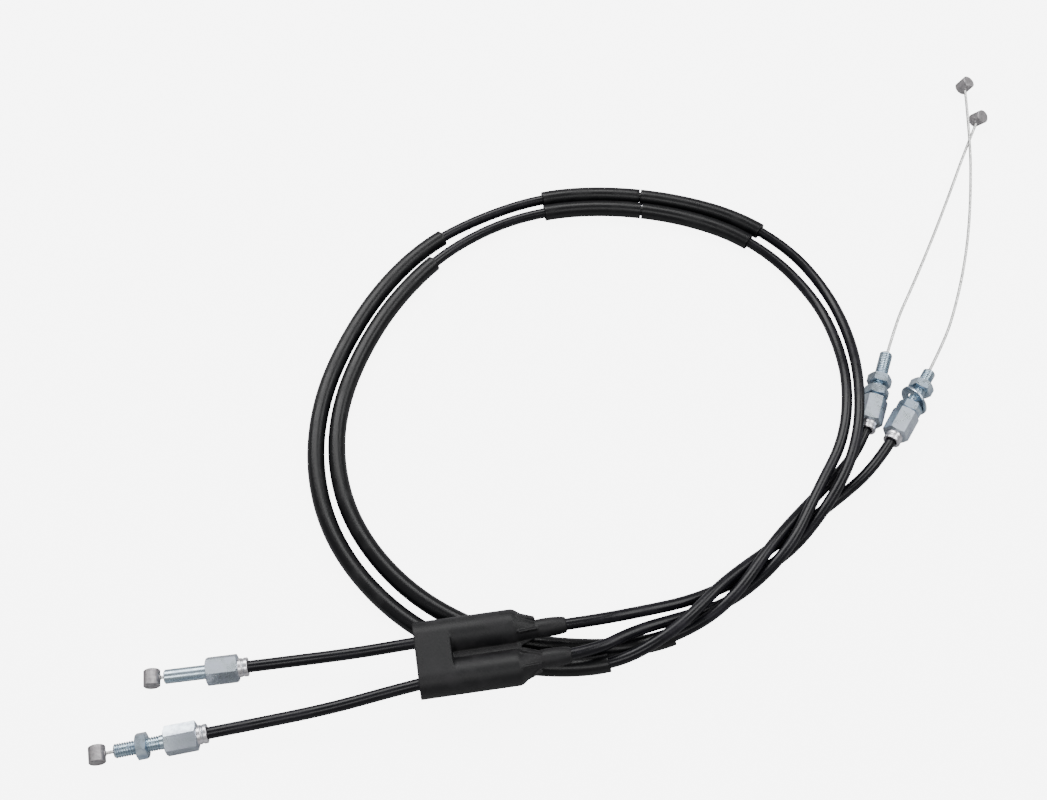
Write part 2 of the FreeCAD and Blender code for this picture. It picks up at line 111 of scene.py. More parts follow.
# Middle of each casing from the grip fitting to the carburettor fitting.
ROUTES = {
    "return": [
        (-0.1584, -0.1434, 0.0065), (-0.1306, -0.1398, 0.0065), (-0.1005, -0.1372, 0.0104),
        (-0.0705, -0.1335, 0.0153), (-0.0455, -0.1316, 0.0161), (-0.0020, -0.1251, 0.0161),
        (0.0200, -0.1185, 0.0105), (0.0380, -0.1123, 0.0048), (0.0548, -0.1047, 0.0025),
        (0.0833, -0.0914, 0.0025), (0.1063, -0.0647, 0.0105), (0.1192, -0.0380, 0.0142),
        (0.1234, -0.0070, 0.0142), (0.1228, 0.0230, 0.0075), (0.1160, 0.0510, 0.0026),
        (0.1010, 0.0750, 0.0028), (0.0760, 0.0940, 0.0040), (0.0440, 0.1052, 0.0040),
        (0.0100, 0.1096, 0.0040), (-0.0220, 0.1070, 0.0040), (-0.0520, 0.0960, 0.0030),
        (-0.0795, 0.0780, 0.0040), (-0.1012, 0.0518, 0.0040), (-0.1170, 0.0200, 0.0040),
        (-0.1265, -0.0120, 0.0040), (-0.1275, -0.0450, 0.0040), (-0.1190, -0.0770, 0.0040),
        (-0.1010, -0.1045, 0.0040), (-0.0750, -0.1265, 0.0040), (-0.0440, -0.1390, 0.0040),
        (-0.0160, -0.1423, 0.0045), (0.0080, -0.1410, 0.0085), (0.0280, -0.1310, 0.0130),
        (0.0420, -0.1185, 0.0130), (0.0548, -0.1047, 0.0105), (0.0777, -0.0856, 0.0025),
        (0.1063, -0.0647, 0.0025), (0.1288, -0.0465, 0.0075), (0.1413, -0.0260, 0.0075),
    ],
    "pull": [
        (-0.1723, -0.1727, 0.0065), (-0.1448, -0.1671, 0.0065), (-0.1125, -0.1612, 0.0092),
        (-0.0870, -0.1552, 0.0132), (-0.0700, -0.1514, 0.0153), (-0.0435, -0.1450, 0.0161),
        (-0.0035, -0.1390, 0.0161), (0.0150, -0.1273, 0.0102), (0.0360, -0.1192, 0.0046),
        (0.0592, -0.1113, 0.0025), (0.0833, -0.0914, 0.0105), (0.0997, -0.0603, 0.0105),
        (0.1133, -0.0365, 0.0125), (0.1182, -0.0080, 0.0125), (0.1170, 0.0200, 0.0065),
        (0.1105, 0.0450, 0.0026), (0.0940, 0.0690, 0.0028), (0.0720, 0.0860, 0.0040),
        (0.0420, 0.0970, 0.0040), (0.0100, 0.1012, 0.0040), (-0.0210, 0.0986, 0.0040),
        (-0.0480, 0.0895, 0.0030), (-0.0742, 0.0702, 0.0040), (-0.0953, 0.0434, 0.0040),
        (-0.1095, 0.0140, 0.0040), (-0.1175, -0.0150, 0.0040), (-0.1178, -0.0430, 0.0040),
        (-0.1100, -0.0710, 0.0040), (-0.0930, -0.0965, 0.0040), (-0.0700, -0.1160, 0.0040),
        (-0.0400, -0.1295, 0.0040), (-0.0080, -0.1335, 0.0040), (0.0220, -0.1319, 0.0040),
        (0.0440, -0.1229, 0.0068), (0.0592, -0.1113, 0.0105), (0.0777, -0.0856, 0.0105),
        (0.0997, -0.0603, 0.0025), (0.1218, -0.0392, 0.0065), (0.1290, -0.0184, 0.0065),
    ],
}


def smooth_curve(name, points, resolution=16):
    """One smooth open line through the pull of its control points."""
    data = bpy.data.curves.new(name, "CURVE")
    data.dimensions = "3D"
    data.resolution_u = resolution
    spline = data.splines.new("NURBS")
    spline.points.add(len(points) - 1)
    for point, place in zip(spline.points, points):
        point.co = (*place, 1)
    spline.order_u = 3
    spline.use_endpoint_u = True
    curve = bpy.data.objects.new(name, data)
    bpy.context.scene.collection.objects.link(curve)
    return curve


def line_points(curve):
    """The curve's own line, read while it has no thickness."""
    depth = curve.data.bevel_depth
    curve.data.bevel_depth = 0
    bpy.context.view_layer.update()
    mesh = bpy.data.meshes.new_from_object(curve)
    points = [vertex.co.copy() for vertex in mesh.vertices]
    bpy.data.meshes.remove(mesh)
    curve.data.bevel_depth = depth
    return points


def value_node(tree, kind, **values):
    """A shader node with its sockets and settings filled in."""
    node = tree.nodes.new(kind)
    for name, value in values.items():
        if name in node.inputs:
            node.inputs[name].default_value = value
        else:
            setattr(node, name, value)
    return node


def rubber_group():
    """Soft dark plastic or rubber: mottled tone, rubs that shine or dull it, and a fine skin."""
    group = bpy.data.node_groups.new("dark_skin", "ShaderNodeTree")
    face = group.interface
    for name, kind, start in (
        ("Vector", "NodeSocketVector", None),
        ("Base", "NodeSocketColor", (0.02, 0.02, 0.02, 1)),
        ("Rubbed", "NodeSocketColor", (0.05, 0.05, 0.05, 1)),
        ("Smooth", "NodeSocketFloat", 0.35),
        ("Dull", "NodeSocketFloat", 0.55),
        ("Grain Scale", "NodeSocketFloat", 2500.0),
    ):
        socket = face.new_socket(name=name, in_out="INPUT", socket_type=kind)
        if start is not None:
            socket.default_value = start
    for name, kind in (("Color", "NodeSocketColor"), ("Roughness", "NodeSocketFloat"),
                       ("Height", "NodeSocketFloat")):
        face.new_socket(name=name, in_out="OUTPUT", socket_type=kind)
    inlet = group.nodes.new("NodeGroupInput")
    outlet = group.nodes.new("NodeGroupOutput")
    link = group.links.new
    patches = value_node(group, "ShaderNodeTexNoise", Scale=90.0, Detail=5.0, Roughness=0.6)
    link(inlet.outputs["Vector"], patches.inputs["Vector"])
    worn = value_node(group, "ShaderNodeMapRange")
    worn.inputs["From Min"].default_value = 0.48
    worn.inputs["From Max"].default_value = 0.72
    link(patches.outputs["Fac"], worn.inputs["Value"])
    tone = value_node(group, "ShaderNodeMix", data_type="RGBA")
    link(worn.outputs["Result"], tone.inputs["Factor"])
    link(inlet.outputs["Base"], tone.inputs[6])
    link(inlet.outputs["Rubbed"], tone.inputs[7])
    link(tone.outputs[2], outlet.inputs["Color"])
    shine = value_node(group, "ShaderNodeMix", data_type="FLOAT")
    link(worn.outputs["Result"], shine.inputs["Factor"])
    link(inlet.outputs["Smooth"], shine.inputs[2])
    link(inlet.outputs["Dull"], shine.inputs[3])
    link(shine.outputs[0], outlet.inputs["Roughness"])
    grain = value_node(group, "ShaderNodeTexNoise", Detail=3.0, Roughness=0.65)
    link(inlet.outputs["Vector"], grain.inputs["Vector"])
    link(inlet.outputs["Grain Scale"], grain.inputs["Scale"])
    link(grain.outputs["Fac"], outlet.inputs["Height"])
    return group


dark_skin = rubber_group()


def skinned_material(name, base, rubbed, smooth, dull, grain, bump, lines=0.0):
    """Dark material from the shared skin; lines adds extrusion lines that follow the UV map."""
    material = bpy.data.materials.new(name)
    material.use_nodes = True
    tree = material.node_tree
    shader = tree.nodes["Principled BSDF"]
    link = tree.links.new
    place = tree.nodes.new("ShaderNodeTexCoord")
    skin = tree.nodes.new("ShaderNodeGroup")
    skin.node_tree = dark_skin
    skin.inputs["Base"].default_value = (*base, 1)
    skin.inputs["Rubbed"].default_value = (*rubbed, 1)
    skin.inputs["Smooth"].default_value = smooth
    skin.inputs["Dull"].default_value = dull
    skin.inputs["Grain Scale"].default_value = grain
    shader.inputs["Specular IOR Level"].default_value = 0.28
    link(place.outputs["Object"], skin.inputs["Vector"])
    link(skin.outputs["Color"], shader.inputs["Base Color"])
    link(skin.outputs["Roughness"], shader.inputs["Roughness"])
    relief = value_node(tree, "ShaderNodeBump", Strength=bump, Distance=0.0002)
    link(skin.outputs["Height"], relief.inputs["Height"])
    normal = relief.outputs["Normal"]
    if lines:
        stretch = tree.nodes.new("ShaderNodeMapping")
        stretch.inputs["Scale"].default_value = (3.0, 26.0, 1.0)
        link(place.outputs["UV"], stretch.inputs["Vector"])
        drawn = value_node(tree, "ShaderNodeTexNoise", Scale=1.0, Detail=4.0, Roughness=0.7)
        link(stretch.outputs["Vector"], drawn.inputs["Vector"])
        along = value_node(tree, "ShaderNodeBump", Strength=lines, Distance=0.0001)
        link(drawn.outputs["Fac"], along.inputs["Height"])
        link(normal, along.inputs["Normal"])
        normal = along.outputs["Normal"]
    link(normal, shader.inputs["Normal"])
    return material


vinyl = skinned_material("casing_vinyl", (0.004, 0.004, 0.006), (0.010, 0.009, 0.014),
                         0.26, 0.42, 1800.0, 0.10, lines=0.25)
casing_lines = {}
for cable, points in ROUTES.items():
    casing = smooth_curve(cable + "_casing", points)
    casing_lines[cable] = line_points(casing)
    casing.data.bevel_depth = JACKET / 2
    casing.data.bevel_resolution = 6
    casing.data.use_fill_caps = True
    casing.data.materials.append(vinyl)
    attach(casing, "casings")
    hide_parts(cable + "_jacket", cable + "_conduit", cable + "_liner")


# ================================================================ sleeves
# Slightly loose tubes of matt black vinyl guard the casings where they would rub on the frame.
# Two short ones almost meet at the top of the loop, and a long one runs down the left side.

SLEEVE = 0.0080
SLEEVE_WALL = 0.0009

# Distance along the casing where each sleeve starts and ends.
SLEEVES = {
    "return_top_sleeve_right": (0.4535, 0.51675),
    "return_top_sleeve_left": (0.51725, 0.5665),
    "return_side_sleeve": (0.6225, 0.9465),
    "pull_top_sleeve_right": (0.4655, 0.52175),
    "pull_top_sleeve_left": (0.52225, 0.5710),
    "pull_side_sleeve": (0.6350, 0.9495),
}


def part_of_line(points, start, end):
    """The points of a line between two distances along it, with both ends exact."""
    kept = []
    passed = 0.0
    for here, there in zip(points, points[1:]):
        step = (there - here).length
        for mark in (start, end):
            if passed <= mark < passed + step:
                kept.append(here.lerp(there, (mark - passed) / step))
        if start < passed + step < end:
            kept.append(there.copy())
        passed += step
    return kept


def tube_mesh(name, points, radius, ring=32):
    """Open tube of mesh along a line of points, with a UV map that follows it."""
    data = bpy.data.curves.new(name, "CURVE")
    data.dimensions = "3D"
    spline = data.splines.new("POLY")
    spline.points.add(len(points) - 1)
    for point, place in zip(spline.points, points):
        point.co = (*place, 1)
    data.bevel_depth = radius
    data.bevel_resolution = ring // 4 - 1
    tube = bpy.data.objects.new(name, data)
    bpy.context.scene.collection.objects.link(tube)
    bpy.ops.object.select_all(action="DESELECT")
    tube.select_set(True)
    bpy.context.view_layer.objects.active = tube
    bpy.ops.object.convert(target="MESH")
    return bpy.context.object


def apply_modifier(piece, kind, **settings):
    bpy.context.view_layer.objects.active = piece
    modifier = piece.modifiers.new(kind, kind)
    for name, value in settings.items():
        setattr(modifier, name, value)
    bpy.ops.object.modifier_apply(modifier=modifier.name)


def face_outward(piece):
    bpy.ops.object.select_all(action="DESELECT")
    piece.select_set(True)
    bpy.context.view_layer.objects.active = piece
    bpy.ops.object.mode_set(mode="EDIT")
    bpy.ops.mesh.select_all(action="SELECT")
    bpy.ops.mesh.remove_doubles(threshold=0.000002)
    bpy.ops.mesh.normals_make_consistent(inside=False)
    bpy.ops.object.mode_set(mode="OBJECT")


matt_sleeve = skinned_material("sleeve_vinyl", (0.004, 0.004, 0.005), (0.011, 0.011, 0.012),
                               0.30, 0.46, 2200.0, 0.20, lines=0.45)
for label, (start, end) in SLEEVES.items():
    cable = label.split("_")[0]
    sleeve = tube_mesh(label + "_skin", part_of_line(casing_lines[cable], start, end), SLEEVE / 2)
    face_outward(sleeve)
    apply_modifier(sleeve, "SOLIDIFY", thickness=SLEEVE_WALL, offset=-1, use_rim=True)
    apply_modifier(sleeve, "BEVEL", width=0.00022, segments=2, angle_limit=math.radians(50))
    sleeve.data.materials.clear()
    sleeve.data.materials.append(matt_sleeve)
    bpy.ops.object.shade_smooth_by_angle(angle=math.radians(40))
    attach(sleeve, "casings")
    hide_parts(label)


# ================================================================ twin boot
# The boot is one moulded rubber piece: two barrels that cover the adjusters, joined by a band
# at the mouth and a thin web, each drawn down through a ribbed shoulder to a neck on its cable.

BOOT_MOUTH = Vector((-0.0763, -0.14306, 0.0161))
BOOT_TURN = math.radians(8.52)
BARREL = 0.0075
BARREL_WALL = 0.0015
BARREL_LENGTH = 0.043
BARREL_SIDE = 0.0090
BAND_LENGTH = 0.015
WEB_HALF = 0.0010
SHOULDER = 0.0070
NECK = 0.0040
NECK_BORE = 0.0028
NECK_LENGTH = 0.0140
NECK_SIDE = 0.00675


def select_only(piece):
    bpy.ops.object.select_all(action="DESELECT")
    piece.select_set(True)
    bpy.context.view_layer.objects.active = piece


def lathe(name, rings, sides=64):
    """Piece turned about Z: a ring of edges is extruded and resized through (radius, height)."""
    radius, height = rings[0]
    bpy.ops.mesh.primitive_circle_add(vertices=sides, radius=radius, location=(0, 0, height))
    piece = bpy.context.object
    piece.name = name
    piece.data.name = name
    bpy.ops.object.transform_apply(location=True)
    bpy.ops.object.mode_set(mode="EDIT")
    bpy.ops.mesh.select_all(action="SELECT")
    for (old, low), (new, high) in zip(rings, rings[1:]):
        bpy.ops.mesh.extrude_edges_move(TRANSFORM_OT_translate={"value": (0, 0, high - low)})
        factor = new / old
        bpy.ops.transform.resize(value=(factor, factor, 1), center_override=(0, 0, high))
    bpy.ops.mesh.select_all(action="SELECT")
    bpy.ops.mesh.remove_doubles(threshold=0.000001)
    bpy.ops.mesh.select_all(action="DESELECT")
    bpy.ops.mesh.select_non_manifold(extend=False)
    bpy.ops.mesh.edge_face_add()
    bpy.ops.mesh.select_all(action="SELECT")
    bpy.ops.mesh.normals_make_consistent(inside=False)
    bpy.ops.object.mode_set(mode="OBJECT")
    return piece


def combine(piece, others, operation):
    """Join, cut or keep the shared part of solid pieces, and drop the helpers."""
    for other in others:
        select_only(piece)
        apply_modifier(piece, "BOOLEAN", operation=operation, object=other, solver="EXACT")
        bpy.data.objects.remove(other)
    return piece


def lay_along_x(piece, start, side, narrow_shift=0.0, narrow_from=0.0):
    """Turn a lathe piece from Z to X, and lean its far end sideways for an offset shoulder."""
    for vertex in piece.data.vertices:
        along = vertex.co.z
        lean = narrow_shift * min(max(along / narrow_from, 0.0), 1.0) if narrow_from else 0.0
        vertex.co = (start + along, side + vertex.co.x + lean, vertex.co.y)
    select_only(piece)
    bpy.ops.object.mode_set(mode="EDIT")
    bpy.ops.mesh.select_all(action="SELECT")
    bpy.ops.mesh.normals_make_consistent(inside=False)
    bpy.ops.object.mode_set(mode="OBJECT")
    return piece


def bar(name, size, place, turn=(0, 0, 0)):
    bpy.ops.mesh.primitive_cube_add(size=1, location=place, rotation=turn, scale=size)
    piece = bpy.context.object
    piece.name = name
    bpy.ops.object.transform_apply(location=True, rotation=True, scale=True)
    return piece


outer = []
inner = []
for sign in (1, -1):
    barrel_side = sign * BARREL_SIDE
    inward = sign * (NECK_SIDE - BARREL_SIDE)
    outer.append(lay_along_x(lathe("barrel", [
        (BARREL, 0), (BARREL, BARREL_LENGTH - 0.0016), (BARREL - 0.0002, BARREL_LENGTH - 0.0008),
        (BARREL - 0.0006, BARREL_LENGTH),
    ]), 0, barrel_side))
    outer.append(lay_along_x(lathe("shoulder", [
        (BARREL - 0.0006, 0), (NECK + 0.0003, SHOULDER - 0.0006), (NECK - 0.0002, SHOULDER + 0.0004),
    ]), BARREL_LENGTH, barrel_side, inward, SHOULDER))
    outer.append(lay_along_x(lathe("neck", [
        (NECK - 0.0004, 0), (NECK - 0.0002, 0.0015), (NECK, 0.0040), (NECK, 0.0085),
        (NECK - 0.0003, 0.0115), (NECK - 0.0006, 0.0132), (NECK - 0.0010, NECK_LENGTH),
    ]), BARREL_LENGTH + SHOULDER, sign * NECK_SIDE))
    # gusset ribs over each shoulder
    for turn in (-60, 0, 60, 120, 180, 240):
        rib = bar("rib", (SHOULDER + 0.0016, 0.0010, 0.0045),
                  (BARREL_LENGTH + SHOULDER / 2, 0, 0.0041),
                  (0, math.radians(21), 0))
        spin = Matrix.Translation((0, barrel_side + inward * 0.6, 0)) @ Matrix.Rotation(
            math.radians(turn - 90) * sign, 4, "X")
        rib.data.transform(spin)
        outer.append(rib)
    inner.append(lay_along_x(lathe("cavity", [
        (BARREL - BARREL_WALL + 0.0006, -0.001), (BARREL - BARREL_WALL + 0.0006, 0.0005),
        (BARREL - BARREL_WALL, 0.0014), (BARREL - BARREL_WALL, BARREL_LENGTH - BARREL_WALL),
    ]), 0, barrel_side))
    inner.append(lay_along_x(lathe("inner_shoulder", [
        (BARREL - BARREL_WALL, 0), (NECK_BORE, SHOULDER),
    ]), BARREL_LENGTH - BARREL_WALL, barrel_side, inward, SHOULDER))
    inner.append(lay_along_x(lathe("bore", [
        (NECK_BORE, -0.0002), (NECK_BORE, NECK_LENGTH + BARREL_WALL + 0.001),
    ]), BARREL_LENGTH - BARREL_WALL + SHOULDER, sign * NECK_SIDE))
outer.append(bar("band", (BAND_LENGTH, 2 * BARREL_SIDE, 2 * BARREL),
                 (BAND_LENGTH / 2, 0, 0)))
outer.append(bar("web", (BARREL_LENGTH, 2 * BARREL_SIDE - BARREL, 2 * WEB_HALF),
                 (BARREL_LENGTH / 2, 0, 0)))

boot = combine(outer[0], outer[1:], "UNION")
boot = combine(boot, inner, "DIFFERENCE")
boot.name = "boot_rubber_moulding"
apply_modifier(boot, "REMESH", mode="VOXEL", voxel_size=0.00038)
apply_modifier(boot, "SMOOTH", factor=0.5, iterations=5)
boot.data.transform(Matrix.Translation(BOOT_MOUTH) @ Matrix.Rotation(BOOT_TURN, 4, "Z"))
select_only(boot)
bpy.ops.object.shade_smooth()
boot.data.materials.clear()
boot.data.materials.append(skinned_material(
    "boot_moulded_rubber", (0.008, 0.008, 0.009), (0.019, 0.018, 0.020), 0.46, 0.62, 2600.0, 0.35))
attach(boot, "twin_boot")
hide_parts("twin_boot")


# ================================================================ hexagonal bodies
# Each end fitting turns on the casing in a hexagonal body, machined from bar, chamfered at both
# ends and zinc plated. The plating has a faint blue cast, cloudy patches and fine tool marks.

TAIL = 0.0175
HEX_FLATS = 0.0110
HEX_LENGTH = 0.0135

# Ferrule tail, heading in plan, and length of tube ahead of the hexagonal body.
FITTINGS = {
    "return_grip": ((-0.1475, -0.1420, 0.0065), 187.4, 0.0175),
    "pull_grip": ((-0.1615, -0.1705, 0.0065), 191.5, 0.0205),
    "return_carb": ((0.1356, -0.0354, 0.0075), 58.5, 0.0260),
    "pull_carb": ((0.1254, -0.0288, 0.0065), 71.0, 0.0260),
}


def fitting_place(fitting, height=0.0):
    """Matrix that puts a piece turned about Z on a fitting, at a height from the hexagon's face."""
    tail, turn, _ = FITTINGS[fitting]
    out = Vector((math.cos(math.radians(turn)), math.sin(math.radians(turn)), 0))
    up = Vector((0, 0, 1))
    side = up.cross(out)
    axes = Matrix((side, up, out)).transposed().to_4x4()
    return Matrix.Translation(Vector(tail) + out * (TAIL + height)) @ axes


def plating_group():
    """Zinc plate: cloudy tint, smears that dull it, and marks left by the tool."""
    group = bpy.data.node_groups.new("zinc_plate", "ShaderNodeTree")
    face = group.interface
    for name, kind, start in (
        ("Vector", "NodeSocketVector", None),
        ("Clean", "NodeSocketColor", (0.60, 0.68, 0.74, 1)),
        ("Cloud", "NodeSocketColor", (0.46, 0.52, 0.60, 1)),
        ("Bright", "NodeSocketFloat", 0.22),
        ("Dull", "NodeSocketFloat", 0.45),
        ("Cloud Scale", "NodeSocketFloat", 260.0),
    ):
        socket = face.new_socket(name=name, in_out="INPUT", socket_type=kind)
        if start is not None:
            socket.default_value = start
    for name, kind in (("Color", "NodeSocketColor"), ("Roughness", "NodeSocketFloat"),
                       ("Height", "NodeSocketFloat")):
        face.new_socket(name=name, in_out="OUTPUT", socket_type=kind)
    inlet = group.nodes.new("NodeGroupInput")
    outlet = group.nodes.new("NodeGroupOutput")
    link = group.links.new
    cloud = value_node(group, "ShaderNodeTexNoise", Detail=4.0, Roughness=0.6)
    link(inlet.outputs["Vector"], cloud.inputs["Vector"])
    link(inlet.outputs["Cloud Scale"], cloud.inputs["Scale"])
    spread = value_node(group, "ShaderNodeMapRange")
    spread.inputs["From Min"].default_value = 0.38
    spread.inputs["From Max"].default_value = 0.66
    link(cloud.outputs["Fac"], spread.inputs["Value"])
    tone = value_node(group, "ShaderNodeMix", data_type="RGBA")
    link(spread.outputs["Result"], tone.inputs["Factor"])
    link(inlet.outputs["Clean"], tone.inputs[6])
    link(inlet.outputs["Cloud"], tone.inputs[7])
    link(tone.outputs[2], outlet.inputs["Color"])
    shine = value_node(group, "ShaderNodeMix", data_type="FLOAT")
    link(spread.outputs["Result"], shine.inputs["Factor"])
    link(inlet.outputs["Bright"], shine.inputs[2])
    link(inlet.outputs["Dull"], shine.inputs[3])
    link(shine.outputs[0], outlet.inputs["Roughness"])
    marks = value_node(group, "ShaderNodeTexNoise", Scale=4200.0, Detail=3.0, Roughness=0.7)
    link(inlet.outputs["Vector"], marks.inputs["Vector"])
    link(marks.outputs["Fac"], outlet.inputs["Height"])
    return group


zinc_plate = plating_group()


def plated_material(name, clean, cloud, bright, dull, scale, bump):
    material = bpy.data.materials.new(name)
    material.use_nodes = True
    tree = material.node_tree
    shader = tree.nodes["Principled BSDF"]
    shader.inputs["Metallic"].default_value = 1.0
    link = tree.links.new
    place = tree.nodes.new("ShaderNodeTexCoord")
    plate = tree.nodes.new("ShaderNodeGroup")
    plate.node_tree = zinc_plate
    plate.inputs["Clean"].default_value = (*clean, 1)
    plate.inputs["Cloud"].default_value = (*cloud, 1)
    plate.inputs["Bright"].default_value = bright
    plate.inputs["Dull"].default_value = dull
    plate.inputs["Cloud Scale"].default_value = scale
    link(place.outputs["Object"], plate.inputs["Vector"])
    link(plate.outputs["Color"], shader.inputs["Base Color"])
    link(plate.outputs["Roughness"], shader.inputs["Roughness"])
    relief = value_node(tree, "ShaderNodeBump", Strength=bump, Distance=0.0001)
    link(plate.outputs["Height"], relief.inputs["Height"])
    link(relief.outputs["Normal"], shader.inputs["Normal"])
    return material


def hexagonal(name, flats, low, high, bore, chamfer):
    """Hexagonal bar standing on a flat, turned to a chamfer at both ends and bored through."""
    corner = flats / 2 / math.cos(math.radians(30))
    bpy.ops.mesh.primitive_cylinder_add(vertices=6, radius=corner, depth=high - low,
                                        location=(0, 0, (low + high) / 2),
                                        rotation=(0, 0, math.radians(30)))
    piece = bpy.context.object
    piece.name = name
    bpy.ops.object.transform_apply(location=True, rotation=True)
    blank = lathe("blank", [
        (corner - 2 * chamfer, low), (corner + 0.00005, low + chamfer),
        (corner + 0.00005, high - chamfer), (corner - 2 * chamfer, high),
    ], 96)
    combine(piece, [blank], "INTERSECT")
    hole = lathe("hole", [(bore, low - 0.001), (bore, high + 0.001)], 48)
    combine(piece, [hole], "DIFFERENCE")
    return piece


def finish_metal(piece, material, place, body, nodes, edge=0.00014):
    """Break the sharp edges, shade, put the piece in its place and tie it to the model."""
    select_only(piece)
    if edge:
        apply_modifier(piece, "BEVEL", width=edge, segments=2, limit_method="ANGLE",
                       angle_limit=math.radians(28))
    piece.data.transform(place)
    piece.data.materials.clear()
    piece.data.materials.append(material)
    select_only(piece)
    bpy.ops.object.shade_smooth_by_angle(angle=math.radians(32))
    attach(piece, body)
    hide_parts(*nodes)


hex_plate = plated_material("hex_zinc", (0.62, 0.70, 0.76), (0.44, 0.48, 0.56),
                            0.26, 0.40, 240.0, 0.08)
HEX_ROLL = {"pull_grip": 30.0}
for fitting in FITTINGS:
    body = hexagonal(fitting + "_hex", HEX_FLATS, -HEX_LENGTH, 0, 0.00325, 0.0007)
    pocket = lathe("pocket", [
        (0.0041, -HEX_LENGTH - 0.001), (0.0041, -HEX_LENGTH + 0.001),
        (0.0046, -HEX_LENGTH + 0.001), (0.0046, -0.003),
    ], 48)
    combine(body, [pocket], "DIFFERENCE")
    roll = Matrix.Rotation(math.radians(HEX_ROLL.get(fitting, 0.0)), 4, "Z")
    finish_metal(body, hex_plate, fitting_place(fitting) @ roll, fitting + "_swivel",
                 [fitting + "_body"])


# ================================================================ ferrules
# A ferrule is a turned cup pressed over the end of each casing. Only its collar shows behind
# the hexagonal body: pale plating, with a crimp groove rolled round it and a rounded lip.

collar_plate = plated_material("collar_zinc", (0.84, 0.82, 0.85), (0.62, 0.62, 0.66),
                               0.26, 0.40, 320.0, 0.10)
ferrules = {}
for fitting in FITTINGS:
    ferrule = ferrules[fitting] = lathe(fitting + "_collar", [
        (0.0011, -0.0052), (0.0045, -0.0052), (0.0045, -0.0123), (0.0040, -0.0123),
        (0.0040, -0.0148), (0.00375, -0.0152), (0.00375, -0.0156), (0.0040, -0.0160),
        (0.0040, -0.0172), (0.0038, -0.0175), (0.00262, -0.0175), (0.00255, -0.0173),
        (0.00255, -0.0065), (0.0011, -0.0065), (0.0011, -0.0052),
    ])
    finish_metal(ferrule, collar_plate, fitting_place(fitting), "casings",
                 [fitting + "_ferrule"], edge=0.00008)


# ================================================================ tubes
# A steel tube guides the wire out of each fitting. The one on the return grip end is plain, and
# the others carry a rolled M6 thread; all are trapped by a shoulder inside the hexagonal body.

TUBE = 0.0030
TUBE_BORE = 0.0011
PITCH = 0.0010
THREAD_DEPTH = 0.00045

tube_plate = plated_material("tube_zinc", (0.54, 0.65, 0.72), (0.38, 0.47, 0.56),
                             0.20, 0.36, 300.0, 0.08)


def cut_thread(piece, low, high):
    """Sink one helical groove into the outside wall between two heights, fading at both ends."""
    for vertex in piece.data.vertices:
        x, y, height = vertex.co
        radius = math.hypot(x, y)
        if low < height < high and radius > TUBE - 0.0001:
            turn = (height / PITCH - math.atan2(y, x) / (2 * math.pi)) % 1
            groove = min(max(4 * abs(turn - 0.5) - 0.6, 0), 1)
            fade = min((height - low) / PITCH, (high - height) / PITCH, 1)
            scale = 1 - THREAD_DEPTH * groove * fade / radius
            vertex.co = (x * scale, y * scale, height)


for fitting, (_, _, length) in FITTINGS.items():
    tip = length - 0.0005
    rings = 2 if fitting == "return_grip" else round(tip * 8 / PITCH)
    tube = lathe(fitting + "_guide", [
        (0.0042, -0.0050), (0.0042, -0.0030), (0.0032, -0.0030), (0.0032, 0.0),
        *((TUBE, tip * index / (rings - 1)) for index in range(rings)),
        (TUBE - 0.0006, length), (0.0001, length), (0.0001, -0.0050),
    ], 48)
    if rings > 2:
        cut_thread(tube, 0.0014, length - 0.0002)
    bore = lathe("bore", [(TUBE_BORE, -0.006), (TUBE_BORE, length + 0.001)], 32)
    combine(tube, [bore], "DIFFERENCE")
    finish_metal(tube, tube_plate, fitting_place(fitting), fitting + "_swivel",
                 [fitting + "_tube"], edge=0)


# ================================================================ lock nuts and washer
# M6 nuts lock the threaded tubes to a housing or bracket. They are cold-formed hexagons with a
# chamfer on both faces. A thick plain washer hangs askew between the two on the return cable.

NUT_FLATS = 0.0100
NUT_HEIGHT = 0.0048
NUTS = {
    "pull_grip_nut": ("pull_grip", 0.0067),
    "pull_carb_inner_nut": ("pull_carb", 0.0010),
    "pull_carb_outer_nut": ("pull_carb", 0.0078),
    "return_carb_inner_nut": ("return_carb", 0.0002),
    "return_carb_outer_nut": ("return_carb", 0.0136),
}

nut_plate = plated_material("nut_zinc", (0.58, 0.68, 0.75), (0.34, 0.42, 0.52),
                            0.18, 0.38, 280.0, 0.10)
for label, (fitting, height) in NUTS.items():
    nut = hexagonal(label + "_formed", NUT_FLATS, 0, NUT_HEIGHT, 0.0031, 0.0006)
    finish_metal(nut, nut_plate, fitting_place(fitting, height), label, [label])

WASHER_HEIGHT = 0.0081
WASHER_TILT = math.radians(22)
washer = lathe("return_carb_washer_plate", [
    (0.0038, -0.0006), (0.0075, -0.0006), (0.0075, 0.0006), (0.0038, 0.0006), (0.0038, -0.0006),
], 96)
finish_metal(washer, nut_plate,
             fitting_place("return_carb", WASHER_HEIGHT) @ Matrix.Rotation(-WASHER_TILT, 4, "Y"),
             "return_carb_washer", ["return_carb_washer"], edge=0.00018)


# ================================================================ inner wires
# The wires are galvanised steel strands laid up in a right-hand twist. At the grip ends only a
# little shows at rest; at the carburettor ends a long bare stretch runs out to its nipple.

WIRE = 0.00075
LAY = 0.0095
STRANDS = 9
STRAND = 0.00021

